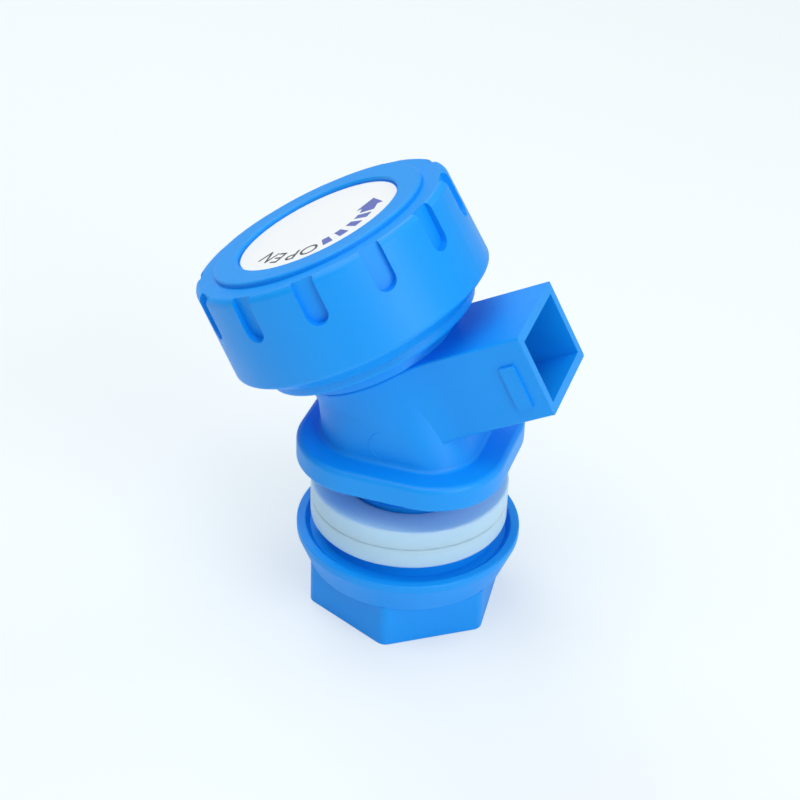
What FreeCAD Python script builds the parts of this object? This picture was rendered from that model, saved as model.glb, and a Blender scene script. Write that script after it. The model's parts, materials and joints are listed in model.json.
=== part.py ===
"""Screw-down tap for a bag or box of liquid, with its two washers and backing nut.

Two axes carry everything. The shank axis is the world's +Z: nut, washers, flange and shank turn
about it. The knob axis leans back from it by knob_tilt and crosses it at knob_axis_height: the
barrel, valve seat, plunger and knob are all built upright on their own +Z and then laid on that
axis by their Placement. The spout leaves the barrel square to the knob axis, along their own +X.
Turning the knob lifts the plunger off the seat, which lets liquid from the shank into the spout.
"""
import FreeCAD, Part
import math
import os
import re
import Sketcher

doc = FreeCAD.newDocument("bag_in_box_tap")

# ----------------------------------------------------------------------------------------------
# Driving dimensions, in millimetres and degrees
# ----------------------------------------------------------------------------------------------
SIZES = {
    # the two axes
    "knob_axis_height": 42.3,      # where the knob axis crosses the shank axis, above the nut's foot
    "knob_tilt": 28.4,              # lean of the knob axis away from the spout
    # backing nut
    "nut_across_flats": 34.9,
    "nut_corner_round": 2.2,
    "nut_turned": 35.4,             # how far the nut happens to be turned on the shank
    "nut_hex_height": 9.2,
    "nut_band_radius": 19.7,        # where the cup leaves the hexagon
    "nut_rim_radius": 22.1,
    "nut_rim_height": 16.7,
    "nut_rim_land": 1.7,
    "nut_rim_edge": 1.5,            # upright part of the rim's outside
    "nut_dish_depth": 1.0,
    "nut_seat_radius": 17.5,        # raised ring that carries the washers
    "nut_seat_height": 19.05,
    "nut_mouth_chamfer": 0.9,
    # washers
    "washer_radius": 19.4,
    "washer_thickness": 4.2,
    "washer_edge": 0.4,
    "seat_gap": 0.03,               # between faces that rest on each other
    # shank and flange
    "shank_radius": 12.9,           # root cylinder of the pipe thread
    "thread_gap": 0.35,             # between that cylinder and the bores that go over it
    "shank_end_height": 0.0,
    "shank_wall": 2.4,
    "inlet_depth": 33.0,            # from the shank's end up to the flat end of its bore
    "throat_step": 0.7,             # ledge where the throat starts at that flat end
    "core_overrun": 1.0,            # how far a core runs on past the end that it opens
    "shank_chamfer": 0.9,
    "flange_under_height": 34.5,
    "flange_thickness": 5.1,
    "flange_half_side": 20.4,
    "flange_corner": 14.1,
    "flange_top_round": 1.2,
    "flange_under_round": 0.6,
    # boss that carries the leaning barrel on the flange
    "boss_half_side": 15.3,
    "boss_corner": 9.1,
    "boss_buried": 1.0,             # how deep its foot starts inside the flange
    "boss_blend_level": 11.4,       # level on the knob axis where it has run into the barrel
    "boss_bite": 0.3,               # how far its top lies inside the barrel wall
    "boss_foot_fillet": 1.0,
    # barrel, along the knob axis from the crossing point
    "barrel_radius": 15.05,
    "barrel_wall": 2.2,
    "collar_radius": 21.2,
    "collar_level": 17.4,
    "collar_thickness": 3.0,
    "collar_round": 0.7,
    "collar_fillet": 1.5,
    "neck_radius": 20.1,            # root cylinder of the knob's thread
    "neck_wall": 2.5,
    "neck_top_level": 36.7,
    "neck_chamfer": 0.9,
    "sleeve_top_level": 32.0,       # top of the inner sleeve that the plunger slides in
    "sleeve_floor": 1.0,            # between the collar's face and the groove round the sleeve
    "seat_bore": 8.0,
    "seat_lip": 1.2,
    "seat_rise": 0.9,
    # spout
    "spout_reach": 32.7,
    "spout_half_width": 10.85,
    "spout_floor_level": -2.85,
    "spout_height": 16.7,
    "spout_wall": 1.85,
    "spout_flare": 13.5,            # radius that runs the spout's sides into the barrel
    "spout_edge": 0.5,
    "catch_width": 2.95,             # raised catch on each side of the mouth
    "catch_inset": 2.95,
    "catch_height": 8.95,
    "catch_lift": 2.95,              # from the spout's underside
    "catch_rise": 0.6,
    # knob
    "knob_mouth_radius": 21.8,
    "knob_mouth_level": 19.55,
    "knob_skirt_radius": 26.35,
    "knob_lip_rise": 3.15,
    "knob_shoulder_radius": 25.8,
    "knob_top_level": 41.0,
    "knob_shoulder_round": 1.4,
    "knob_lip_round": 0.9,
    "knob_top_wall": 2.8,
    "knob_ring_outer": 21.25,
    "knob_ring_inner": 16.4,
    "knob_ring_rise": 1.0,
    "knob_ring_round": 0.4,
    "grip_count": 12,
    "grip_width": 4.1,
    "grip_depth": 1.8,
    "grip_foot_level": 32.3,
    "grip_turned": 15.0,            # first grip slot from the spout's direction
    "hub_radius": 10.2,
    "hub_foot_level": 29.6,
    # label
    "label_radius": 16.0,
    "label_thickness": 0.25,
    # plunger
    "running_gap": 0.3,             # between pieces that slide or turn past each other
    "piston_foot_level": 14.3,
    "piston_top_level": 25.6,
    "plunger_rod_radius": 5.2,
    "plunger_foot_radius": 9.9,
    "plunger_foot_thickness": 1.8,
    "plunger_head_radius": 7.0,
    "plunger_waist_radius": 5.7,
    "seal_thickness": 2.2,
    "seal_pin_radius": 2.9,
    "plunger_head_lead": 0.9,
    "snap_height": 1.3,             # ridge in the knob's socket that holds the plunger's waist
    "seal_bead_radius": 3.5,
    "seal_bead_height": 1.0,
    "ring_section": 0.9,           # radius of the O-rings' cord
    "ring_side_gap": 0.15,
    "ring_groove_depth": 1.6,
    "lower_ring_level": 17.0,
    "upper_ring_level": 22.4,
}

sheet = doc.addObject("Spreadsheet::Sheet", "sizes")
for row, (word, size) in enumerate(SIZES.items(), start=1):
    sheet.set("A%d" % row, word)
    sheet.set("B%d" % row, str(size))
    sheet.setAlias("B%d" % row, word)
doc.recompute()


def linked(formula):
    """The formula with each size word pointed at its cell in the sheet."""
    return re.sub(r"[a-z]+(_[a-z]+)+", lambda word: "sizes." + word.group(0), str(formula))


def value(formula):
    """The number that a formula of size words gives now."""
    return float(sheet.evalExpression(linked(formula)))


def bind(thing, **formulas):
    """Tie properties of a document object to formulas of size words."""
    for name, formula in formulas.items():
        thing.setExpression(name, linked(formula))


# ----------------------------------------------------------------------------------------------
# Sketch helpers
# ----------------------------------------------------------------------------------------------
def origin_part(body, role):
    """A plane or an axis of the body's own origin."""
    return next(part for part in body.Origin.OriginFeatures if part.Role == role)


def sketch_on(body, name, plane="XY_Plane", level=None):
    """A new sketch on one of the body's own planes, lifted off it by a formula."""
    sketch = body.newObject("Sketcher::SketchObject", name)
    sketch.AttachmentSupport = (origin_part(body, plane), [""])
    sketch.MapMode = "FlatFace"
    if level is not None:
        sketch.setExpression("AttachmentOffset.Base.z", linked(level))
    return sketch


def pin(sketch, geometry, point, across, up):
    """Hold one point of a sketch at two formulas."""
    for kind, axis, formula in (("DistanceX", -2, across), ("DistanceY", -1, up)):
        if abs(value(formula)) < 1e-9:
            sketch.addConstraint(Sketcher.Constraint("PointOnObject", geometry, point, axis))
            continue
        held = Sketcher.Constraint(kind, -1, 1, geometry, point, value(formula))
        index = sketch.addConstraint(held)
        sketch.setExpression("Constraints[%d]" % index, linked(formula))


def hold_radius(sketch, geometry, formula):
    """Hold the radius of an arc or circle at a formula."""
    index = sketch.addConstraint(Sketcher.Constraint("Radius", geometry, value(formula)))
    sketch.setExpression("Constraints[%d]" % index, linked(formula))


def circle_in(sketch, radius, across=0, up=0):
    """A circle with a bound radius and centre."""
    centre = FreeCAD.Vector(value(across), value(up), 0)
    geometry = sketch.addGeometry(Part.Circle(centre, FreeCAD.Vector(0, 0, 1), value(radius)))
    pin(sketch, geometry, 3, across, up)
    hold_radius(sketch, geometry, radius)


def outline_in(sketch, corners):
    """A closed outline of straight sides; a corner with a third formula is rounded to it."""
    points = [FreeCAD.Vector(value(corner[0]), value(corner[1]), 0) for corner in corners]
    rounds = [value(corner[2]) if len(corner) > 2 else 0.0 for corner in corners]
    count = len(corners)
    arrive, leave, centres = [], [], []
    for i, point in enumerate(points):
        back = (points[i - 1] - point).normalize()
        ahead = (points[(i + 1) % count] - point).normalize()
        half = back.getAngle(ahead) / 2
        cut = rounds[i] / math.tan(half)
        arrive.append(point + back * cut)
        leave.append(point + ahead * cut)
        centres.append(point + (back + ahead).normalize() * (rounds[i] / math.sin(half)))
    sides = [sketch.addGeometry(Part.LineSegment(leave[i], arrive[(i + 1) % count]))
             for i in range(count)]
    for i, corner in enumerate(corners):
        before, after = sides[i - 1], sides[i]
        if not rounds[i]:
            sketch.addConstraint(Sketcher.Constraint("Coincident", before, 2, after, 1))
            pin(sketch, after, 1, corner[0], corner[1])
            continue
        start = (arrive[i] - centres[i])
        end = (leave[i] - centres[i])
        turn = start.cross(end).z
        first, last = (start, end) if turn > 0 else (end, start)
        circle = Part.Circle(centres[i], FreeCAD.Vector(0, 0, 1), rounds[i])
        first_angle = math.atan2(first.y, first.x)
        last_angle = math.atan2(last.y, last.x)
        if last_angle < first_angle:
            last_angle += 2 * math.pi
        arc = sketch.addGeometry(Part.ArcOfCircle(circle, first_angle, last_angle))
        arc_in, arc_out = (1, 2) if turn > 0 else (2, 1)
        sketch.addConstraint(Sketcher.Constraint("Tangent", before, 2, arc, arc_in))
        sketch.addConstraint(Sketcher.Constraint("Tangent", after, 1, arc, arc_out))
        tip = sketch.addGeometry(Part.Point(points[i]), True)
        sketch.addConstraint(Sketcher.Constraint("PointOnObject", tip, 1, before))
        sketch.addConstraint(Sketcher.Constraint("PointOnObject", tip, 1, after))
        pin(sketch, tip, 1, corner[0], corner[1])
        hold_radius(sketch, arc, corner[2])


def rounded_square_in(sketch, half_side, corner):
    """A square with rounded corners about the sketch's origin."""
    signs = ((1, 1), (-1, 1), (-1, -1), (1, -1))
    outline_in(sketch, [("%d * %s" % (i, half_side), "%d * %s" % (j, half_side), corner)
                        for i, j in signs])


# ----------------------------------------------------------------------------------------------
# Feature helpers
# ----------------------------------------------------------------------------------------------
def new_body(label, on_knob_axis=False):
    """A body of its own, either in the world's frame or laid on the knob axis."""
    body = doc.addObject("PartDesign::Body", label)
    body.Label = label
    if on_knob_axis:
        lean = FreeCAD.Rotation(FreeCAD.Vector(0, 1, 0), -value("knob_tilt"))
        body.Placement = FreeCAD.Placement(FreeCAD.Vector(0, 0, value("knob_axis_height")), lean)
        body.setExpression("Placement.Base.z", linked("knob_axis_height"))
        body.setExpression("Placement.Rotation.Angle", linked("-1 * knob_tilt"))
    return body


def pad(body, name, sketch, length):
    feature = body.newObject("PartDesign::Pad", name)
    feature.Profile = sketch
    bind(feature, Length=length)
    sketch.Visibility = False
    doc.recompute()
    return feature


def turned(body, name, sketch, kind="Revolution"):
    """The sketch turned once round the body's own Z axis, added or (as a Groove) taken away."""
    feature = body.newObject("PartDesign::" + kind, name)
    feature.Profile = sketch
    feature.ReferenceAxis = (sketch, ["V_Axis"])
    feature.Angle = 360
    sketch.Visibility = False
    doc.recompute()
    return feature


def round_edges(body, name, base, names, radius):
    feature = body.newObject("PartDesign::Fillet", name)
    feature.Base = (base, names)
    bind(feature, Radius=radius)
    doc.recompute()
    return feature


def level_edges(feature, level, reach):
    """Names of the edges that lie flat at a level, all of them farther out than reach."""
    names = []
    for index, edge in enumerate(feature.Shape.Edges, start=1):
        flat = all(abs(vertex.Z - value(level)) < 0.01 for vertex in edge.Vertexes)
        spots = [edge.valueAt(edge.FirstParameter), edge.valueAt(edge.LastParameter)]
        if flat and min(math.hypot(spot.x, spot.y) for spot in spots) > value(reach):
            names.append("Edge%d" % index)
    return names


# ----------------------------------------------------------------------------------------------
# Backing nut: a hexagon that opens into a shallow cup with a raised washer seat
# ----------------------------------------------------------------------------------------------
nut = new_body("hex_nut")
bind(nut, **{"Placement.Rotation.Angle": "nut_turned"})
hexagon = sketch_on(nut, "nut_hexagon")
outline_in(hexagon, [
    ("%g * nut_across_flats / sqrt(3)" % across, "%g * nut_across_flats" % up, "nut_corner_round")
    for across, up in ((1, 0), (0.5, 0.5), (-0.5, 0.5), (-1, 0), (-0.5, -0.5), (0.5, -0.5))
])
pad(nut, "nut_grip", hexagon, "nut_hex_height")

cup = sketch_on(nut, "nut_cup_section", "XZ_Plane")
outline_in(cup, [
    (0, "nut_hex_height"),
    ("nut_band_radius", "nut_hex_height"),
    ("nut_rim_radius", "nut_rim_height - nut_rim_edge"),
    ("nut_rim_radius", "nut_rim_height", "nut_dish_depth / 3"),
    ("nut_rim_radius - nut_rim_land", "nut_rim_height", "nut_dish_depth / 3"),
    ("nut_rim_radius - nut_rim_land - nut_dish_depth", "nut_rim_height - nut_dish_depth"),
    ("nut_seat_radius", "nut_rim_height - nut_dish_depth"),
    ("nut_seat_radius", "nut_seat_height"),
    (0, "nut_seat_height"),
])
turned(nut, "nut_cup", cup)

THREAD_BORE = "(shank_radius + thread_gap)"
bore = sketch_on(nut, "nut_bore_section", "XZ_Plane")
outline_in(bore, [
    (0, 0),
    (THREAD_BORE + " + nut_mouth_chamfer", 0),
    (THREAD_BORE, "nut_mouth_chamfer"),
    (THREAD_BORE, "nut_seat_height"),
    (0, "nut_seat_height"),
])
turned(nut, "nut_bore", bore, "Groove")


# ----------------------------------------------------------------------------------------------
# Two soft washers, resting on the nut's seat
# ----------------------------------------------------------------------------------------------
def washer(label, foot):
    """One flat ring with softened outer edges."""
    body = new_body(label)
    section = sketch_on(body, label + "_section", "XZ_Plane")
    outline_in(section, [
        (THREAD_BORE, foot),
        ("washer_radius", foot, "washer_edge"),
        ("washer_radius", foot + " + washer_thickness", "washer_edge"),
        (THREAD_BORE, foot + " + washer_thickness"),
    ])
    turned(body, label + "_ring", section)
    return body


LOWER_WASHER_FOOT = "nut_seat_height + seat_gap"
lower_washer = washer("lower_washer", LOWER_WASHER_FOOT)
upper_washer = washer("upper_washer", LOWER_WASHER_FOOT + " + washer_thickness")

# ----------------------------------------------------------------------------------------------
# Tap body, outside: shank and flange, leaning barrel with its spout, and the boss between them
# ----------------------------------------------------------------------------------------------
FLANGE_TOP = "(flange_under_height + flange_thickness)"
base = new_body("shank_and_flange")
shank = sketch_on(base, "shank_section", "XZ_Plane")
outline_in(shank, [
    (0, "shank_end_height"),
    ("shank_radius - shank_chamfer", "shank_end_height"),
    ("shank_radius", "shank_end_height + shank_chamfer"),
    ("shank_radius", "flange_under_height"),
    (0, "flange_under_height"),
])
turned(base, "shank_solid", shank)
flange_plan = sketch_on(base, "flange_plan", level="flange_under_height")
rounded_square_in(flange_plan, "flange_half_side", "flange_corner")
flange = pad(base, "flange_plate", flange_plan, "flange_thickness")
top_edges = level_edges(flange, FLANGE_TOP, "shank_radius + 1")
flange = round_edges(base, "flange_top_edge", flange, top_edges, "flange_top_round")
under_edges = level_edges(flange, "flange_under_height", "shank_radius + 1")
round_edges(base, "flange_under_edge", flange, under_edges, "flange_under_round")

boss = new_body("boss")
boss_foot = sketch_on(boss, "boss_foot", level=FLANGE_TOP + " - boss_buried")
rounded_square_in(boss_foot, "boss_half_side", "boss_corner")
boss_top = sketch_on(boss, "boss_top", level="knob_axis_height + boss_blend_level * cos(knob_tilt)")
boss_top.AttachmentOffset = FreeCAD.Placement(
    boss_top.AttachmentOffset.Base,
    FreeCAD.Rotation(FreeCAD.Vector(0, 1, 0), -value("knob_tilt")))
bind(boss_top, **{
    "AttachmentOffset.Base.x": "-1 * boss_blend_level * sin(knob_tilt)",
    "AttachmentOffset.Rotation.Angle": "-1 * knob_tilt",
})
circle_in(boss_top, "barrel_radius - boss_bite")
blend = boss.newObject("PartDesign::AdditiveLoft", "boss_blend")
blend.Profile = boss_foot
blend.Sections = [boss_top]
blend.Ruled = True
doc.recompute()


def spout_plan(sketch):
    """Barrel circle and spout sides, run together by a flare of spout_flare on each side."""
    barrel = value("barrel_radius")
    half = value("spout_half_width")
    flare = value("spout_flare")
    reach = value("spout_reach")
    out = half + flare
    along = math.sqrt((barrel + flare) ** 2 - out ** 2)
    swing = math.atan2(out, along)
    up = FreeCAD.Vector(0, 0, 1)

    def at(x, y):
        return FreeCAD.Vector(x, y, 0)

    def arc(centre, radius, start, end):
        return sketch.addGeometry(Part.ArcOfCircle(Part.Circle(centre, up, radius), start, end))

    mouth = sketch.addGeometry(Part.LineSegment(at(reach, -half), at(reach, half)))
    far_side = sketch.addGeometry(Part.LineSegment(at(reach, half), at(along, half)))
    near_side = sketch.addGeometry(Part.LineSegment(at(along, -half), at(reach, -half)))
    far_flare = arc(at(along, out), flare, swing - math.pi, -math.pi / 2)
    near_flare = arc(at(along, -out), flare, math.pi / 2, math.pi - swing)
    barrel_arc = arc(at(0, 0), barrel, swing, 2 * math.pi - swing)
    for kind, first, first_end, second, second_end in (
            ("Coincident", mouth, 2, far_side, 1),
            ("Tangent", far_side, 2, far_flare, 2),
            ("Tangent", far_flare, 1, barrel_arc, 1),
            ("Tangent", barrel_arc, 2, near_flare, 2),
            ("Tangent", near_flare, 1, near_side, 1),
            ("Coincident", near_side, 2, mouth, 1)):
        sketch.addConstraint(Sketcher.Constraint(kind, first, first_end, second, second_end))
    sketch.addConstraint(Sketcher.Constraint("Horizontal", far_side))
    sketch.addConstraint(Sketcher.Constraint("Horizontal", near_side))
    pin(sketch, mouth, 2, "spout_reach", "spout_half_width")
    pin(sketch, mouth, 1, "spout_reach", "-1 * spout_half_width")
    pin(sketch, barrel_arc, 3, 0, 0)
    hold_radius(sketch, barrel_arc, "barrel_radius")
    hold_radius(sketch, far_flare, "spout_flare")
    hold_radius(sketch, near_flare, "spout_flare")


def long_edges(feature, reach):
    """Names of the straight edges that run out along X to the spout's mouth."""
    names = []
    for index, edge in enumerate(feature.Shape.Edges, start=1):
        ends = [vertex.Point for vertex in edge.Vertexes]
        if len(ends) != 2 or not isinstance(edge.Curve, Part.Line):
            continue
        along = abs(ends[0].x - ends[1].x)
        if along > 1 and abs(along - edge.Length) < 0.01 and max(p.x for p in ends) > value(reach) - 0.1:
            names.append("Edge%d" % index)
    return names


SPOUT_TOP = "(spout_floor_level + spout_height)"
NECK_INSIDE = "(neck_radius - neck_wall)"
COLLAR_TOP = "(collar_level + collar_thickness)"
barrel = new_body("barrel_and_spout", on_knob_axis=True)
plan = sketch_on(barrel, "spout_plan", level="spout_floor_level")
spout_plan(plan)
spout = pad(barrel, "spout_tube", plan, "spout_height")
spout = round_edges(barrel, "spout_long_edges", spout, long_edges(spout, "spout_reach"), "spout_edge")

catch = sketch_on(barrel, "catch_plan", level="spout_floor_level + catch_lift")
CATCH_END = "spout_reach - catch_inset"
CATCH_SIDE = "(spout_half_width + catch_rise)"
outline_in(catch, [
    (CATCH_END + " - catch_width", "-1 * " + CATCH_SIDE),
    (CATCH_END, "-1 * " + CATCH_SIDE),
    (CATCH_END, CATCH_SIDE),
    (CATCH_END + " - catch_width", CATCH_SIDE),
])
pad(barrel, "spout_catches", catch, "catch_height")

neck = sketch_on(barrel, "neck_section", "XZ_Plane")
outline_in(neck, [
    (0, SPOUT_TOP),
    ("barrel_radius", SPOUT_TOP),
    ("barrel_radius", "collar_level", "collar_fillet"),
    ("collar_radius", "collar_level", "collar_round"),
    ("collar_radius", COLLAR_TOP),
    ("neck_radius", COLLAR_TOP),
    ("neck_radius", "neck_top_level - neck_chamfer"),
    ("neck_radius - neck_chamfer", "neck_top_level"),
    (NECK_INSIDE, "neck_top_level"),
    (NECK_INSIDE, COLLAR_TOP + " - sleeve_floor"),
    ("barrel_radius", COLLAR_TOP + " - sleeve_floor"),
    ("barrel_radius", "sleeve_top_level"),
    (0, "sleeve_top_level"),
])
turned(barrel, "collar_neck_and_sleeve", neck)

outside = doc.addObject("Part::MultiFuse", "body_outside")
outside.Shapes = [base, boss, barrel]
outside.Refine = True
doc.recompute()
rounded_outside = doc.addObject("Part::Fillet", "boss_foot_fillet")
rounded_outside.Base = outside
rounded_outside.Edges = [
    (int(name[4:]), value("boss_foot_fillet"), value("boss_foot_fillet"))
    for name in level_edges(outside, FLANGE_TOP, "shank_radius")
]
doc.recompute()

# ----------------------------------------------------------------------------------------------
# Tap body, inside: the cores that leave the chamber, seat, spout passage and shank bore
# ----------------------------------------------------------------------------------------------
CHAMBER_BORE = "(barrel_radius - barrel_wall)"
CHAMBER_FLOOR = "(spout_floor_level + spout_wall)"
SEAT_TOP = "(spout_floor_level + spout_wall + seat_rise)"
chamber = new_body("chamber_core", on_knob_axis=True)
passage = sketch_on(chamber, "passage_plan", level=CHAMBER_FLOOR)
PASSAGE_SIDE = "(spout_half_width - spout_wall)"
outline_in(passage, [
    (0, "-1 * " + PASSAGE_SIDE),
    ("spout_reach + spout_wall", "-1 * " + PASSAGE_SIDE),
    ("spout_reach + spout_wall", PASSAGE_SIDE),
    (0, PASSAGE_SIDE),
])
pad(chamber, "spout_passage", passage, "spout_height - 2 * spout_wall")
chamber_section = sketch_on(chamber, "chamber_section", "XZ_Plane")
outline_in(chamber_section, [
    (0, "spout_floor_level - spout_wall"),
    ("seat_bore", "spout_floor_level - spout_wall"),
    ("seat_bore", CHAMBER_FLOOR),
    (CHAMBER_BORE, CHAMBER_FLOOR),
    (CHAMBER_BORE, "sleeve_top_level"),
    (0, "sleeve_top_level"),
])
turned(chamber, "chamber_solid", chamber_section)
lip_section = sketch_on(chamber, "seat_lip_section", "XZ_Plane")
outline_in(lip_section, [
    ("seat_bore", CHAMBER_FLOOR),
    ("seat_bore + seat_lip", CHAMBER_FLOOR),
    ("seat_bore + seat_lip", SEAT_TOP),
    ("seat_bore", SEAT_TOP),
])
turned(chamber, "seat_lip", lip_section, "Groove")

shank_bore = new_body("shank_bore_core")
shank_circle = sketch_on(shank_bore, "shank_bore_plan", level="shank_end_height - core_overrun")
circle_in(shank_circle, "shank_radius - shank_wall")
pad(shank_bore, "shank_bore_solid", shank_circle, "inlet_depth + core_overrun")

# The throat joins the flat end of the shank bore to the leaning seat: the seat bore carried on
# down, where it lies inside an upright pin a little slimmer than the shank bore
INLET_TOP = "(shank_end_height + inlet_depth)"
seat_below = new_body("seat_bore_below_the_seat", on_knob_axis=True)
seat_circle = sketch_on(seat_below, "seat_bore_plan", level="spout_floor_level - 2 * barrel_radius")
circle_in(seat_circle, "seat_bore")
pad(seat_below, "seat_bore_solid", seat_circle, "2 * barrel_radius")
throat_pin = new_body("throat_pin")
throat_circle = sketch_on(throat_pin, "throat_plan", level=INLET_TOP + " - core_overrun")
circle_in(throat_circle, "shank_radius - shank_wall - throat_step")
pad(throat_pin, "throat_pin_solid", throat_circle, "knob_axis_height")
throat = doc.addObject("Part::Common", "throat_core")
throat.Base = seat_below
throat.Tool = throat_pin

cores = doc.addObject("Part::MultiFuse", "cores")
cores.Shapes = [chamber, shank_bore, throat]
doc.recompute()
tap_body = doc.addObject("Part::Cut", "tap_body")
tap_body.Base = rounded_outside
tap_body.Tool = cores
tap_body.Refine = True
doc.recompute()

# ----------------------------------------------------------------------------------------------
# Knob: a threaded cap with a ring of grip slots and a socket for the plunger's head
# ----------------------------------------------------------------------------------------------
KNOB_CEILING = "(knob_top_level - knob_top_wall)"
KNOB_THREAD = "(neck_radius + thread_gap)"
SOCKET = "(plunger_head_radius + running_gap)"
SNAP_TOP = "(hub_foot_level + snap_height)"
RING_TOP = "(knob_top_level + knob_ring_rise)"
knob = new_body("knob", on_knob_axis=True)
cap = sketch_on(knob, "knob_section", "XZ_Plane")
outline_in(cap, [
    (0, KNOB_CEILING),
    (SOCKET, KNOB_CEILING),
    (SOCKET, SNAP_TOP),
    ("plunger_waist_radius + running_gap", SNAP_TOP),
    ("plunger_waist_radius + running_gap", "hub_foot_level"),
    ("hub_radius", "hub_foot_level"),
    ("hub_radius", KNOB_CEILING),
    (KNOB_THREAD, KNOB_CEILING),
    (KNOB_THREAD, COLLAR_TOP + " + running_gap"),
    ("knob_mouth_radius", COLLAR_TOP + " + running_gap"),
    ("knob_mouth_radius", "knob_mouth_level"),
    ("knob_skirt_radius", "knob_mouth_level + knob_lip_rise", "knob_lip_round"),
    ("knob_shoulder_radius", "knob_top_level", "knob_shoulder_round"),
    ("knob_ring_outer", "knob_top_level"),
    ("knob_ring_outer", RING_TOP, "knob_ring_round"),
    ("knob_ring_inner", RING_TOP, "knob_ring_round"),
    ("knob_ring_inner", "knob_top_level"),
    (0, "knob_top_level"),
])
turned(knob, "knob_solid", cap)


def slot_outline(sketch):
    """One grip slot as seen from outside: round foot, straight sides, open past the top."""
    half = value("grip_width") / 2
    foot = value("grip_foot_level") + half
    top = value(RING_TOP)
    circle = Part.Circle(FreeCAD.Vector(0, foot, 0), FreeCAD.Vector(0, 0, 1), half)
    foot_arc = sketch.addGeometry(Part.ArcOfCircle(circle, math.pi, 2 * math.pi))
    corners = [FreeCAD.Vector(half, foot, 0), FreeCAD.Vector(half, top, 0),
               FreeCAD.Vector(-half, top, 0), FreeCAD.Vector(-half, foot, 0)]
    sides = [sketch.addGeometry(Part.LineSegment(corners[i], corners[i + 1])) for i in range(3)]
    sketch.addConstraint(Sketcher.Constraint("Tangent", foot_arc, 2, sides[0], 1))
    sketch.addConstraint(Sketcher.Constraint("Coincident", sides[0], 2, sides[1], 1))
    sketch.addConstraint(Sketcher.Constraint("Coincident", sides[1], 2, sides[2], 1))
    sketch.addConstraint(Sketcher.Constraint("Tangent", sides[2], 2, foot_arc, 1))
    pin(sketch, foot_arc, 3, 0, "grip_foot_level + grip_width / 2")
    pin(sketch, sides[1], 1, "grip_width / 2", RING_TOP)
    pin(sketch, sides[1], 2, "-0.5 * grip_width", RING_TOP)


GRIP_START = "(knob_skirt_radius + grip_depth)"
slot = sketch_on(knob, "grip_slot", "YZ_Plane", level=GRIP_START + " * cos(grip_turned)")
slot.AttachmentOffset = FreeCAD.Placement(
    slot.AttachmentOffset.Base,
    FreeCAD.Rotation(FreeCAD.Vector(0, 1, 0), value("grip_turned")))
bind(slot, **{
    "AttachmentOffset.Base.x": GRIP_START + " * sin(grip_turned)",
    "AttachmentOffset.Rotation.Angle": "grip_turned",
})
slot_outline(slot)
grip = knob.newObject("PartDesign::Pocket", "grip_cut")
grip.Profile = slot
bind(grip, Length="2 * grip_depth")
slot.Visibility = False
doc.recompute()
grips = knob.newObject("PartDesign::PolarPattern", "grip_slots")
grips.Originals = [grip]
grips.Axis = (origin_part(knob, "Z_Axis"), [""])
grips.Angle = 360
bind(grips, Occurrences="grip_count")
knob.Tip = grips
doc.recompute()

label = new_body("knob_label", on_knob_axis=True)
label_plan = sketch_on(label, "label_plan", level="knob_top_level")
circle_in(label_plan, "label_radius")
pad(label, "label_disc", label_plan, "label_thickness")

# ----------------------------------------------------------------------------------------------
# Plunger with its seat seal and two O-rings
# ----------------------------------------------------------------------------------------------
PISTON = "(barrel_radius - barrel_wall - running_gap)"
GROOVE_FLOOR = "(barrel_radius - barrel_wall - running_gap - ring_groove_depth)"
SEAL_FOOT = "(spout_floor_level + spout_wall + seat_rise + seat_gap)"
SEAL_TOP = "(spout_floor_level + spout_wall + seat_rise + seat_gap + seal_thickness)"
FOOT_TOP = SEAL_TOP + " + plunger_foot_thickness"


def ring_groove(level):
    """Corners of one O-ring groove in the piston, from its lower edge up."""
    low = level + " - ring_section - ring_side_gap"
    high = level + " + ring_section + ring_side_gap"
    return [(PISTON, low), (GROOVE_FLOOR, low), (GROOVE_FLOOR, high), (PISTON, high)]


plunger = new_body("plunger", on_knob_axis=True)
rod = sketch_on(plunger, "plunger_section", "XZ_Plane")
outline_in(rod, [
    (0, SEAL_FOOT + " - seal_bead_height"),
    ("seal_pin_radius", SEAL_FOOT + " - seal_bead_height"),
    ("seal_bead_radius", SEAL_FOOT),
    ("seal_pin_radius", SEAL_FOOT),
    ("seal_pin_radius", SEAL_TOP),
    ("plunger_foot_radius", SEAL_TOP),
    ("plunger_foot_radius", FOOT_TOP),
    ("plunger_rod_radius", FOOT_TOP),
    ("plunger_rod_radius", "piston_foot_level"),
    (PISTON, "piston_foot_level"),
] + ring_groove("lower_ring_level") + ring_groove("upper_ring_level") + [
    (PISTON, "piston_top_level"),
    ("plunger_head_radius", "piston_top_level"),
    ("plunger_head_radius", "hub_foot_level - running_gap"),
    ("plunger_waist_radius", "hub_foot_level - running_gap"),
    ("plunger_waist_radius", SNAP_TOP + " + running_gap"),
    ("plunger_head_radius", SNAP_TOP + " + running_gap"),
    ("plunger_head_radius", KNOB_CEILING + " - running_gap - plunger_head_lead"),
    ("plunger_head_radius - plunger_head_lead", KNOB_CEILING + " - running_gap"),
    (0, KNOB_CEILING + " - running_gap"),
])
turned(plunger, "plunger_solid", rod)

seal = new_body("seat_seal", on_knob_axis=True)
seal_section = sketch_on(seal, "seal_section", "XZ_Plane")
outline_in(seal_section, [
    ("seal_pin_radius", SEAL_FOOT),
    ("plunger_foot_radius", SEAL_FOOT),
    ("plunger_foot_radius", SEAL_TOP),
    ("seal_pin_radius", SEAL_TOP),
])
turned(seal, "seal_disc", seal_section)


def o_ring(name, level):
    """A round-section ring lying on its groove's floor."""
    body = new_body(name, on_knob_axis=True)
    section = sketch_on(body, name + "_section", "XZ_Plane")
    circle_in(section, "ring_section", GROOVE_FLOOR + " + ring_section", level)
    turned(body, name + "_ring", section)
    return body


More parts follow.
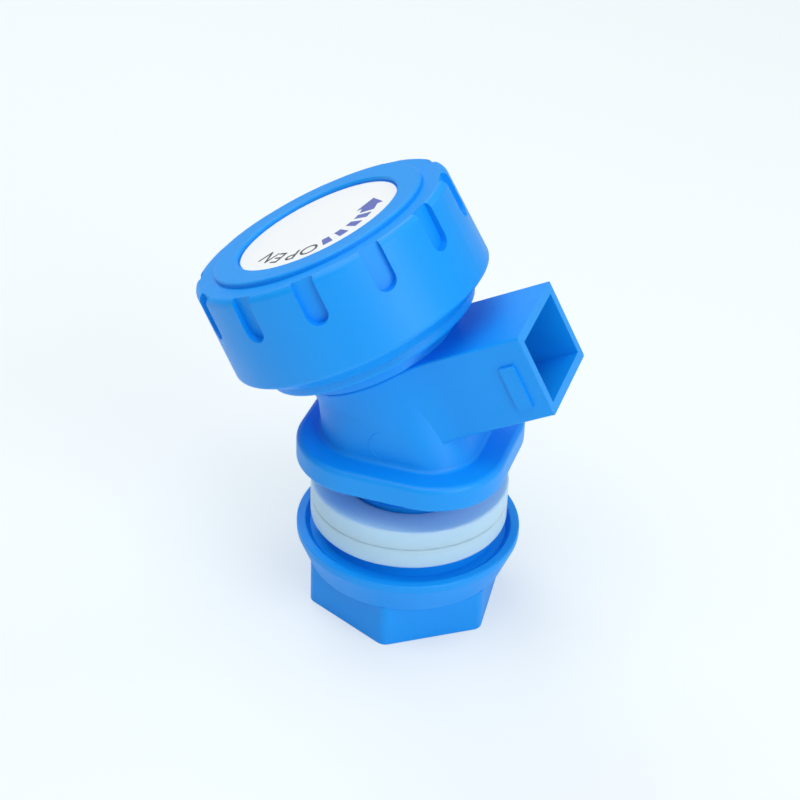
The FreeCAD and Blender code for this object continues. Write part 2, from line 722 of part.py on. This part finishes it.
lower_ring = o_ring("lower_o_ring", "lower_ring_level")
upper_ring = o_ring("upper_o_ring", "upper_ring_level")

# ----------------------------------------------------------------------------------------------
# Check and write
# ----------------------------------------------------------------------------------------------
doc.recompute()
for thing in doc.Objects:
    if "Invalid" in thing.State or "Error" in thing.State:
        raise RuntimeError("%s did not build: %s" % (thing.Label, thing.State))
SUB_PARTS = [tap_body, nut, lower_washer, upper_washer, knob, label,
             plunger, seal, lower_ring, upper_ring]
os.makedirs("parts", exist_ok=True)
for sub_part in SUB_PARTS:
    shape = sub_part.Shape
    if not shape.isValid() or len(shape.Solids) != 1:
        raise RuntimeError("%s is not one sound solid" % sub_part.Label)
    shape.exportStep("parts/%s.step" % sub_part.Label)
    print("%-14s %9.1f mm3" % (sub_part.Label, shape.Volume))
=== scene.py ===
# %% [markdown]
# # Bag in box tap
# The tap is a moulded plastic valve. A knob turns on a barrel that leans back, a square spout pours,
# and a threaded shank with two washers and a hexagon nut clamps the tap in a container's wall.
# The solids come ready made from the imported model. This script gives them their finishes and adds
# what is too fine for a solid: the screw threads, the print on the label, and the marks of the mould.

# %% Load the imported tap
import json
import math

import bpy
import numpy as np
from mathutils import Matrix, Vector


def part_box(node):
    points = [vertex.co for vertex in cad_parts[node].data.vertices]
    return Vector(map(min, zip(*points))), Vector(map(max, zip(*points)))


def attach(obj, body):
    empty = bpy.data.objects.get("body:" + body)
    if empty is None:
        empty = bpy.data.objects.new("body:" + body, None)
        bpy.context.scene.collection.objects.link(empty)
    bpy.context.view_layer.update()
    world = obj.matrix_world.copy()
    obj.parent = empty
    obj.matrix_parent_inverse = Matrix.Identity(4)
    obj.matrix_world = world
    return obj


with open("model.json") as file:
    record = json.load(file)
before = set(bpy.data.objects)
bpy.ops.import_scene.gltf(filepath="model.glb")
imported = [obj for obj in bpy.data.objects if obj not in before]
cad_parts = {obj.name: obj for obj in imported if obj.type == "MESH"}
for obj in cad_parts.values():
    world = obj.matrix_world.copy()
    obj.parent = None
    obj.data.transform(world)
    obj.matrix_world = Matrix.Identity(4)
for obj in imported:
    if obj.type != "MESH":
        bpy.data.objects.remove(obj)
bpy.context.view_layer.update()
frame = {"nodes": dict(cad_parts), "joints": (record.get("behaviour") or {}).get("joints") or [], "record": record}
nodes = frame["nodes"]
joints = {joint["name"]: joint for joint in frame["joints"]}
MM = 0.001
print("nodes:", ", ".join(sorted(nodes)))

# %% [markdown]
# ## Two axes
# The shank, nut and washers share an upright axis. The barrel, knob and plunger share one that leans
# back. Each part of the tap is easiest to describe on its own axis, so an axis here is a small table
# of directions with a foot point, and `on_axis` carries points from it into the tap's frame. The
# leaning axis is read from the knob's joint, so it always agrees with the moving parts.

# %% The upright axis and the leaning axis
leaning_direction = np.array(joints["knob_turn"]["axis"], float)
far_side = np.array([0.0, 1.0, 0.0])
UPRIGHT = {"foot": np.zeros(3), "turn": np.eye(3)}
LEANING = {
    "foot": np.array(joints["knob_turn"]["pos_m"], float),
    "turn": np.array([np.cross(far_side, leaning_direction), far_side, leaning_direction]),
}


def on_axis(axis, points):
    """Points x, y, z on an axis, carried into the tap's frame: foot + x, y, z times its directions."""
    return np.asarray(points, float) @ axis["turn"] + axis["foot"]


def corners_of(node, axis):
    """The corner points of a CAD node, seen from an axis: distance from it, and level along it."""
    mesh = nodes[node].data
    flat = np.empty(3 * len(mesh.vertices), np.float32)
    mesh.vertices.foreach_get("co", flat)
    local = (flat.reshape(-1, 3) - axis["foot"]) @ axis["turn"].T
    return np.hypot(local[:, 0], local[:, 1]), local[:, 2]


def radius_between(node, axis, low, high, pick):
    """The least or greatest distance from the axis among a node's corners between two levels."""
    radii, levels = corners_of(node, axis)
    return float(pick(radii[(levels > low) & (levels < high)]))


lean = math.degrees(math.acos(leaning_direction[2]))
print("the knob's axis leans back by %.1f degrees" % lean)

# %% [markdown]
# ## Finishes
# The tap is made of four materials. The body, knob and nut are one blue plastic with a fine, slightly
# uneven gloss, which a low noise in the roughness and a very small bump give. The washers are milky
# silicone, so light has to enter them: subsurface scattering does that and still exports as plain
# colour. The label is a satin film, and the seals are dark rubber. Each finish is one short function,
# so that it can be changed in one place.

# %% A finish with an even colour
def srgb(red, green, blue):
    """An 8 bit screen colour as the linear colour that shaders work in."""
    screen = np.array([red, green, blue]) / 255
    linear = np.where(screen <= 0.04045, screen / 12.92, ((screen + 0.055) / 1.055) ** 2.4)
    return (*linear, 1.0)


def finish(name, colour, roughness, **sockets):
    """A material with one principled shader, and any of its other sockets by name."""
    material = bpy.data.materials.new(name)
    material.use_nodes = True
    shader = material.node_tree.nodes["Principled BSDF"]
    shader.inputs["Base Color"].default_value = colour
    shader.inputs["Roughness"].default_value = roughness
    for socket, number in sockets.items():
        shader.inputs[socket.replace("_", " ")].default_value = number
    return material


def uneven(material, scale, low, high, bump):
    """Adds noise in Object coordinates: roughness between low and high, and a small bump in metres."""
    tree = material.node_tree
    shader = tree.nodes["Principled BSDF"]
    place = tree.nodes.new("ShaderNodeTexCoord")
    noise = tree.nodes.new("ShaderNodeTexNoise")
    noise.inputs["Scale"].default_value = scale
    noise.inputs["Detail"].default_value = 3
    spread = tree.nodes.new("ShaderNodeMapRange")
    spread.inputs["To Min"].default_value = low
    spread.inputs["To Max"].default_value = high
    relief = tree.nodes.new("ShaderNodeBump")
    relief.inputs["Strength"].default_value = 1.0
    relief.inputs["Distance"].default_value = bump
    tree.links.new(place.outputs["Object"], noise.inputs["Vector"])
    tree.links.new(noise.outputs["Fac"], spread.inputs["Value"])
    tree.links.new(spread.outputs["Result"], shader.inputs["Roughness"])
    tree.links.new(noise.outputs["Fac"], relief.inputs["Height"])
    tree.links.new(relief.outputs["Normal"], shader.inputs["Normal"])
    return material


# %% The tap's finishes
blue_plastic = uneven(finish("blue_plastic", srgb(6, 153, 245), 0.4, Specular_IOR_Level=0.35),
                      240, 0.36, 0.48, 0.00001)
silicone = finish("white_silicone", srgb(186, 220, 242), 0.42,
                  Subsurface_Weight=0.6, Subsurface_Scale=0.004)
silicone.node_tree.nodes["Principled BSDF"].inputs["Subsurface Radius"].default_value = (0.8, 0.9, 1.0)
label_film = finish("label_film", srgb(253, 254, 254), 0.4)
white_plastic = finish("white_plastic", srgb(232, 232, 228), 0.5)
seal_rubber = finish("seal_rubber", srgb(38, 38, 40), 0.55)
bar_ink = finish("bar_ink", srgb(96, 110, 186), 0.5)
letter_ink = finish("letter_ink", srgb(70, 74, 84), 0.5)

NODE_FINISH = {
    "tap_body": blue_plastic, "knob": blue_plastic, "hex_nut": blue_plastic,
    "upper_washer": silicone, "lower_washer": silicone, "knob_label": label_film,
    "plunger": white_plastic, "seat_seal": seal_rubber,
    "lower_o_ring": seal_rubber, "upper_o_ring": seal_rubber,
}
for name, material in NODE_FINISH.items():
    nodes[name].data.materials.clear()
    nodes[name].data.materials.append(material)
print("finishes:", len(set(NODE_FINISH.values())), "on", len(NODE_FINISH), "nodes")

# %% [markdown]
# ## Solids carried along a path
# A thread, a flash line and a mould mark are all a small outline carried along a path. Every one is
# an array of rings: one row for each station on the path, one column for each point of the outline.
# At both ends the outline shrinks to a point, which closes the solid.

# %% From rings to a closed mesh
def signed_volume(points, faces):
    """Six times the volume inside the faces; it is negative when they point inwards."""
    a, b, c = (points[faces[:, i]] for i in range(3))
    return float(np.einsum("ij,ij->i", a, np.cross(b, c)).sum())


def closed_tube(name, rings, material, body):
    """A solid through rings (stations, points, 3) whose first and last stations are single points."""
    stations, around = rings.shape[:2]
    points = np.vstack([rings[0, :1], rings[1:-1].reshape(-1, 3), rings[-1, :1]])
    last = len(points) - 1
    here = np.arange(around)
    then = np.roll(here, -1)
    start = 1 + around * np.arange(stations - 3)[:, None]
    quads = np.stack([start + here, start + then, start + around + then, start + around + here], -1)
    quads = quads.reshape(-1, 4)
    final = 1 + around * (stations - 3)
    fans = np.vstack([
        np.stack([np.zeros(around, int), 1 + then, 1 + here], -1),
        np.stack([np.full(around, last), final + here, final + then], -1),
    ])
    triangles = np.vstack([quads[:, [0, 1, 2]], quads[:, [0, 2, 3]], fans])
    if signed_volume(points, triangles) < 0:
        quads, fans = quads[:, ::-1], fans[:, ::-1]
    mesh = bpy.data.meshes.new(name)
    mesh.from_pydata(points.tolist(), [], quads.tolist() + fans.tolist())
    mesh.polygons.foreach_set("use_smooth", np.ones(len(mesh.polygons), bool))
    mesh.materials.append(material)
    piece = bpy.data.objects.new(name, mesh)
    bpy.context.scene.collection.objects.link(piece)
    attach(piece, body)
    print("%s: %d faces" % (name, len(mesh.polygons)))
    return piece


# %% [markdown]
# ## Screw threads
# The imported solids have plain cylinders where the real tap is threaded, because a screw's crests would
# make the solids heavy. A ridge is a helix: while it turns once it climbs by the pitch. The shank and
# the nut share a pipe thread of 14 turns an inch. The neck and the knob share a coarse thread that
# lifts the knob fast. The two ridges of a pair lie half a pitch apart, so they mesh and never touch.
# The pitches come from the couplings of the moving parts, so that a turning nut follows its thread.

# %% A helical ridge
couplings = {c["joint"]: c for c in frame["record"]["behaviour"]["couplings"]}
PIPE_PITCH = 2 * math.pi * couplings["nut_travel"]["ratio"]
KNOB_LEAD = 2 * math.pi * couplings["stem_lift"]["ratio"]
STEPS_PER_TURN = 72
RUN_OUT_TURNS = 0.35
CREST_SHARE = 0.44      # of a ridge's width that is flat crest
SUNK = 0.15 * MM        # how deep a ridge's foot lies in the wall that carries it
print("pipe pitch %.3f mm, knob lead %.2f mm" % (PIPE_PITCH / MM, KNOB_LEAD / MM))


def smooth_step(t):
    """0 below 0, 1 above 1, and 3t^2 - 2t^3 between."""
    t = np.clip(t, 0, 1)
    return t * t * (3 - 2 * t)


def ridge(name, axis, wall, height, width, low, high, pitch, turned, material, body):
    """A helix between two levels: at turn u its level is low + pitch * u.

    Its outline is a flat crest with sloping flanks, and stands on the wall. At both ends it fades into
    the wall over RUN_OUT_TURNS. A negative height makes it point at the axis.
    """
    turns = (high - low) / pitch
    u = np.linspace(0, turns, int(turns * STEPS_PER_TURN) + 1)[:, None]
    across = np.array([-0.5, -CREST_SHARE / 2, CREST_SHARE / 2, 0.5]) * width
    out = np.array([0.0, 1.0, 1.0, 0.0])
    sink = -math.copysign(SUNK, height)
    fade = smooth_step(u / RUN_OUT_TURNS) * smooth_step((turns - u) / RUN_OUT_TURNS)
    radius = wall + sink + (height - sink) * out * fade
    level = low + pitch * u + across * fade
    angle = np.broadcast_to(2 * math.pi * u + math.radians(turned), level.shape)
    rings = np.stack([radius * np.cos(angle), radius * np.sin(angle), level], -1)
    return closed_tube(name, on_axis(axis, rings), material, body)


# %% The shank's thread and the nut's
flange_under = float(frame["record"]["mounts"][0]["pos_m"][2])
shank_wall = radius_between("tap_body", UPRIGHT, 0.5 * MM, flange_under - 0.5 * MM, np.max)
nut_wall = radius_between("hex_nut", UPRIGHT, -0.01 * MM, 30 * MM, np.min)
nut_low, nut_high = (corner.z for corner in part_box("hex_nut"))
print("shank wall %.2f mm, nut wall %.2f mm" % (shank_wall / MM, nut_wall / MM))
PIPE_RIDGE = 0.30 * MM
PIPE_WIDTH = 0.85 * MM
LEAD_IN = 1.6 * MM              # bare wall before a thread starts
SHANK_RUN_OUT = 1.4 * MM        # bare wall under the flange
NUT_RUN_OUT = 0.9 * MM
ridge("shank_thread", UPRIGHT, shank_wall, PIPE_RIDGE, PIPE_WIDTH,
      LEAD_IN, flange_under - SHANK_RUN_OUT, PIPE_PITCH, 0, blue_plastic, "tap")
ridge("nut_thread", UPRIGHT, nut_wall, -PIPE_RIDGE, PIPE_WIDTH,
      nut_low + LEAD_IN, nut_high - NUT_RUN_OUT, PIPE_PITCH, 180, blue_plastic, "nut")

# %% The neck's thread and the knob's
NECK_FOOT, NECK_TOP = 20.6 * MM, 35.9 * MM      # the neck's straight wall, from collar to chamfer
BORE_FOOT, BORE_TOP = 19.0 * MM, 28.0 * MM      # a stretch of the knob's bore
neck_wall = radius_between("tap_body", LEANING, NECK_FOOT, NECK_TOP, np.max)
knob_wall = radius_between("knob", LEANING, BORE_FOOT, BORE_TOP, np.min)
print("neck wall %.2f mm, knob wall %.2f mm" % (neck_wall / MM, knob_wall / MM))
KNOB_RIDGE = 0.24 * MM
KNOB_RIDGE_WIDTH = 1.5 * MM
NECK_THREAD_FOOT, NECK_THREAD_TOP = 21.8 * MM, 34.8 * MM
KNOB_THREAD_FOOT, KNOB_THREAD_TOP = 22.3 * MM, 35.2 * MM
ridge("neck_thread", LEANING, neck_wall, KNOB_RIDGE, KNOB_RIDGE_WIDTH,
      NECK_THREAD_FOOT, NECK_THREAD_TOP, KNOB_LEAD, 30, blue_plastic, "tap")
ridge("knob_thread", LEANING, knob_wall, -KNOB_RIDGE, KNOB_RIDGE_WIDTH,
      KNOB_THREAD_FOOT, KNOB_THREAD_TOP, KNOB_LEAD, 210, blue_plastic, "knob")

# %% [markdown]
# ## The label's print
# The label says which way the tap opens: the word, then dashes that lead into an arrow, all along one
# circle. The print is very thin and lies on the film. The dashes are patches of that circle, and the
# letters are the program's own font made into meshes, each one turned to stand on the circle.

# %% Patches and letters on the label
PRINT_LIFT = 0.01 * MM
PRINT_THICKNESS = 0.03 * MM
label_face = float(corners_of("knob_label", LEANING)[1].max())
DASH_INNER, DASH_OUTER = 9.2 * MM, 12.3 * MM
LETTER_FOOT = 9.6 * MM
LETTER_HEIGHT = 3.6 * MM
ARC_POINTS = 9


def link_print(name, mesh, material):
    """Puts one printed shape on the knob."""
    mesh.materials.clear()
    mesh.materials.append(material)
    piece = bpy.data.objects.new(name, mesh)
    bpy.context.scene.collection.objects.link(piece)
    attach(piece, "knob")
    return piece


def flat_print(name, outline, material):
    """A thin prism over an outline of x, y points on the label, in counter-clockwise order."""
    count = len(outline)
    foot = np.column_stack([outline, np.full(count, label_face + PRINT_LIFT)])
    points = np.vstack([foot, foot + [0, 0, PRINT_THICKNESS]])
    here = np.arange(count)
    then = np.roll(here, -1)
    sides = np.stack([here, then, count + then, count + here], -1).tolist()
    mesh = bpy.data.meshes.new(name)
    caps = [here[::-1].tolist(), (count + here).tolist()]
    mesh.from_pydata(on_axis(LEANING, points).tolist(), [], sides + caps)
    return link_print(name, mesh, material)


def arc_patch(start, end, inner, outer):
    """The outline between two angles in degrees and two radii: one arc out, the other back."""
    angles = np.radians(np.linspace(start, end, ARC_POINTS))
    arc = np.column_stack([np.cos(angles), np.sin(angles)])
    return np.vstack([arc * outer, arc[::-1] * inner])


# %% The dashes and the arrow
DASH_STARTS = np.array([-62.5, -46.5, -30.0, -15.0])
DASH_SPAN = 9.0
ARROW_START, ARROW_NECK = -1.0, 10.0
for number, start in enumerate(DASH_STARTS, 1):
    flat_print("label_dash_%d" % number,
               arc_patch(start, start + DASH_SPAN, DASH_INNER, DASH_OUTER), bar_ink)
stem = arc_patch(ARROW_START, ARROW_NECK, DASH_INNER, DASH_OUTER)
neck_angle = math.radians(ARROW_NECK)
outward = np.array([math.cos(neck_angle), math.sin(neck_angle)])
onward = np.array([-outward[1], outward[0]])
arrow_middle = (DASH_INNER + DASH_OUTER) / 2 * outward
HEAD_HALF, HEAD_LENGTH = 2.7 * MM, 3.9 * MM
outer_arc, inner_arc = stem[:ARC_POINTS], stem[ARC_POINTS:]
head = np.array([
    arrow_middle + HEAD_HALF * outward,
    arrow_middle + HEAD_LENGTH * onward,
    arrow_middle - HEAD_HALF * outward,
])
flat_print("label_arrow", np.vstack([outer_arc, head, inner_arc]), bar_ink)

# %% The word
WORD = "OPEN"
FIRST_LETTER, LETTER_PITCH = -76.5, -17.5
CAPITAL_SHARE = 0.73     # height of a capital over the size of the built-in font


def letter_mesh(letter, height):
    """A letter of the built-in font as a thin mesh with its foot at zero, centred on x."""
    curve = bpy.data.curves.new("letter_" + letter, "FONT")
    curve.body = letter
    curve.align_x = "CENTER"
    curve.size = height / CAPITAL_SHARE
    curve.extrude = PRINT_THICKNESS / 2
    piece = bpy.data.objects.new("letter_" + letter, curve)
    bpy.context.scene.collection.objects.link(piece)
    bpy.context.view_layer.update()
    graph = bpy.context.evaluated_depsgraph_get()
    mesh = bpy.data.meshes.new_from_object(piece.evaluated_get(graph))
    bpy.data.objects.remove(piece)
    bpy.data.curves.remove(curve)
    return mesh


for number, letter in enumerate(WORD):
    mesh = letter_mesh(letter, LETTER_HEIGHT)
    flat = np.empty(3 * len(mesh.vertices), np.float32)
    mesh.vertices.foreach_get("co", flat)
    x, y, z = flat.reshape(-1, 3).T
    angle = math.radians(FIRST_LETTER + number * LETTER_PITCH)
    up = np.array([math.cos(angle), math.sin(angle), 0])
    right = np.array([math.sin(angle), -math.cos(angle), 0])
    level = label_face + PRINT_LIFT + PRINT_THICKNESS / 2 + z
    local = np.outer(x, right) + np.outer(LETTER_FOOT + y, up) + np.outer(level, [0, 0, 1])
    mesh.vertices.foreach_set("co", on_axis(LEANING, local).astype(np.float32).ravel())
    mesh.update()
    link_print("label_letter_%d" % (number + 1), mesh, letter_ink)
print("label print at %.2f mm along the knob's axis" % (label_face / MM))

# %% [markdown]
# ## The mark of the mould
# A round mark about 6 mm across shows faintly on the front of the barrel's foot, where an ejector pin
# of the mould met the plastic. It is a very thin line that lies on the surface: each station looks
# straight back at the body from in front of it, and sits where that line of sight meets the plastic.

# %% The ejector mark
MARK_ASIDE = -0.6 * MM
MARK_LEVEL = 43.7 * MM
MARK_RADIUS = 2.9 * MM
MARK_LINE = 0.2 * MM
MARK_START, MARK_END = 95, 335     # degrees, from the right and counter-clockwise
WELL_IN_FRONT = -0.1
FADE_SHARE = 0.15                  # of the line's length that fades out at each end


def front_of(node, x, z):
    """Where a line that runs straight back at x, z first meets a CAD node, and the way it faces."""
    hit, point, normal, _ = nodes[node].ray_cast(Vector((x, WELL_IN_FRONT, z)), Vector((0, 1, 0)))
    assert hit, "the mark misses the body"
    return np.array(point), np.array(normal)


def surface_line(name, node, xs, zs, thickness, material, body):
    """A thin round line on the front of a node, through stations at x, z.

    A ring of the line is its middle + radius * (cos a * sideways + sin a * outwards), with a from 0 to
    2 pi. The radius rises from nothing at one end and falls back to nothing at the other.
    """
    met = [front_of(node, x, z) for x, z in zip(xs, zs)]
    middle, normal = (np.array(part) for part in zip(*met))
    along = np.gradient(middle, axis=0)
    along /= np.linalg.norm(along, axis=1, keepdims=True)
    beside = np.cross(normal, along)
    t = np.linspace(0, 1, len(middle))[:, None]
    thin = thickness / 2 * smooth_step(t / FADE_SHARE) * smooth_step((1 - t) / FADE_SHARE)
    turn = np.linspace(0, 2 * math.pi, 9)[None, :-1]
    rings = (middle[:, None] + (thin * np.cos(turn))[..., None] * beside[:, None]
             + (thin * np.sin(turn))[..., None] * normal[:, None])
    return closed_tube(name, rings, material, body)


sweep = np.radians(np.linspace(MARK_START, MARK_END, 61))
surface_line("ejector_mark", "tap_body", MARK_ASIDE + MARK_RADIUS * np.cos(sweep),
             MARK_LEVEL + MARK_RADIUS * np.sin(sweep), MARK_LINE, blue_plastic, "tap")

# %% [markdown]
# ## Studio
# The tap stands on a large pale sheet under soft light. To the camera, half of the sheet's light is an
# even pale glow, so it looks nearly white and still keeps the soft shadow. The world behind it is all
# glow to the camera, and only a weak fill light to the tap.

# %% Floor and world
FLOOR_HALF = 3.0
FLOOR_DROP = 0.05 * MM      # keeps the floor clear of the nut's foot
WORLD_STRENGTH = 0.29
PALE = srgb(243, 251, 253)


def seen_paler(tree, shader, surface, share):
    """Lets the camera see a share of an even pale glow over a shader, and sends both to a surface."""
    glow = tree.nodes.new("ShaderNodeEmission")
    glow.inputs["Color"].default_value = PALE
    path = tree.nodes.new("ShaderNodeLightPath")
    amount = tree.nodes.new("ShaderNodeMath")
    amount.operation = "MULTIPLY"
    amount.inputs[1].default_value = share
    mix = tree.nodes.new("ShaderNodeMixShader")
    tree.links.new(path.outputs["Is Camera Ray"], amount.inputs[0])
    tree.links.new(amount.outputs[0], mix.inputs["Fac"])
    tree.links.new(shader.outputs[0], mix.inputs[1])
    tree.links.new(glow.outputs[0], mix.inputs[2])
    tree.links.new(mix.outputs[0], surface)


def pale_sheet():
    """The floor: one square sheet just under the nut's foot."""
    mesh = bpy.data.meshes.new("floor")
    signs = ((-1, -1), (1, -1), (1, 1), (-1, 1))
    mesh.from_pydata([(FLOOR_HALF * i, FLOOR_HALF * j, 0) for i, j in signs], [], [(0, 1, 2, 3)])
    floor = bpy.data.objects.new("floor", mesh)
    floor.location.z = -FLOOR_DROP
    bpy.context.scene.collection.objects.link(floor)
    material = finish("pale_floor", srgb(244, 249, 251), 0.9, Specular_IOR_Level=0.1)
    tree = material.node_tree
    seen_paler(tree, tree.nodes["Principled BSDF"],
               tree.nodes["Material Output"].inputs["Surface"], 0.5)
    mesh.materials.append(material)


def pale_world():
    """The world: a weak bluish fill light that the camera sees as an even glow."""
    world = bpy.context.scene.world or bpy.data.worlds.new("studio")
    bpy.context.scene.world = world
    world.use_nodes = True
    tree = world.node_tree
    background = tree.nodes["Background"]
    background.inputs["Color"].default_value = srgb(236, 246, 252)
    background.inputs["Strength"].default_value = WORLD_STRENGTH
    seen_paler(tree, background, tree.nodes["World Output"].inputs["Surface"], 1.0)


pale_sheet()
pale_world()
print("floor %.0f m across, world strength %.2f" % (2 * FLOOR_HALF, WORLD_STRENGTH))

# %% [markdown]
# ## Lamps
# Four large square lamps stand round the tap. The strongest is above, the next is in front on the
# spout's side, and two behind give the knob's top and the washers their light. Large lamps close by
# make soft shadows. Together they light a flat surface so that its colour looks as it is written.

# %% The lamps
LAMP_AIM = Vector((0, 0, 0.045))


def soft_lamp(name, place, size, power):
    """A square lamp at a place in metres that faces the tap's middle, with its power in watts."""
    lamp = bpy.data.lights.new(name, "AREA")
    lamp.size = size
    lamp.energy = power
    piece = bpy.data.objects.new(name, lamp)
    piece.location = place
    piece.rotation_euler = (LAMP_AIM - Vector(place)).to_track_quat("-Z", "Y").to_euler()
    bpy.context.scene.collection.objects.link(piece)


soft_lamp("lamp_above", (-0.10, -0.15, 0.75), 0.6, 3.0)
soft_lamp("lamp_right", (0.60, -0.35, 0.40), 0.5, 2.7)
soft_lamp("lamp_behind_left", (-0.45, 0.45, 0.60), 0.5, 2.0)
soft_lamp("lamp_behind_right", (0.45, 0.45, 0.60), 0.5, 0.9)

# %% [markdown]
# ## Camera
# The camera looks down on the tap from the front, a little from the spout's side, through a long lens.
# It is placed by its direction and distance from a point on the shank's axis, and is rolled a little.

# %% The camera
CAMERA_ROUND = math.radians(17.4)       # from straight in front, towards the spout
CAMERA_HEIGHT = math.radians(33.8)
CAMERA_ROLL = math.radians(2.1)
CAMERA_DISTANCE = 390.2 * MM
AIM_ASIDE, AIM_LEVEL = -2.46 * MM, 44.6 * MM
LENS, SENSOR_WIDTH = 91.9, 36       # both in millimetres, as the camera takes them
back = np.array([
    math.sin(CAMERA_ROUND) * math.cos(CAMERA_HEIGHT),
    -math.cos(CAMERA_ROUND) * math.cos(CAMERA_HEIGHT),
    math.sin(CAMERA_HEIGHT),
])
level_right = np.array([math.cos(CAMERA_ROUND), math.sin(CAMERA_ROUND), 0])
level_up = np.cross(back, level_right)
right = level_right * math.cos(CAMERA_ROLL) + level_up * math.sin(CAMERA_ROLL)
up = level_up * math.cos(CAMERA_ROLL) - level_right * math.sin(CAMERA_ROLL)
place = AIM_ASIDE * level_right + np.array([0, 0, AIM_LEVEL]) + back * CAMERA_DISTANCE
lens = bpy.data.cameras.new("camera")
lens.lens = LENS
lens.sensor_width = SENSOR_WIDTH
camera = bpy.data.objects.new("camera", lens)
pose = np.eye(4)
pose[:3, 0], pose[:3, 1], pose[:3, 2], pose[:3, 3] = right, up, back, place
camera.matrix_world = Matrix(pose.tolist())
bpy.context.scene.collection.objects.link(camera)
bpy.context.scene.camera = camera
bpy.context.scene.view_settings.view_transform = "Standard"

print("camera %.0f mm away, %.1f degrees up" % (CAMERA_DISTANCE / MM, math.degrees(CAMERA_HEIGHT)))
